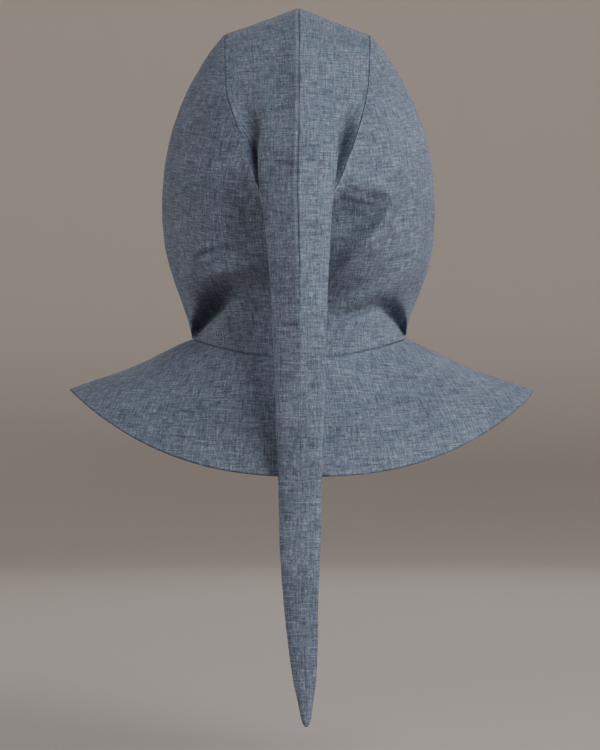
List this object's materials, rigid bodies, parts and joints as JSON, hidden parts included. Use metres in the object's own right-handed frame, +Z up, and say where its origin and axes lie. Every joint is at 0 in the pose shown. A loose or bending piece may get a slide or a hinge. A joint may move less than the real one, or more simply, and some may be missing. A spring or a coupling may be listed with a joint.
{
  "type": "liripipe hood",
  "caption": "Linen hood with a seamed crown that runs into a long hollow tail, side panels round an open face, and a flared shoulder cowl.",
  "frame": {"origin": "where the top of the head touches the inside of the crown", "axes": "+Z up, the face opening looks along -Y, the tail hangs at +Y, the wearer's left is +X"},
  "size_m": [0.3926, 0.269, 0.5922],
  "materials": {
    "linen": "matt, slubbed plain weave"
  },
  "bodies": {
    "root": {"side_left": "linen", "side_right": "linen", "crown_tail_left": "linen", "crown_tail_right": "linen", "cowl": "linen"}
  },
  "joints": []
}
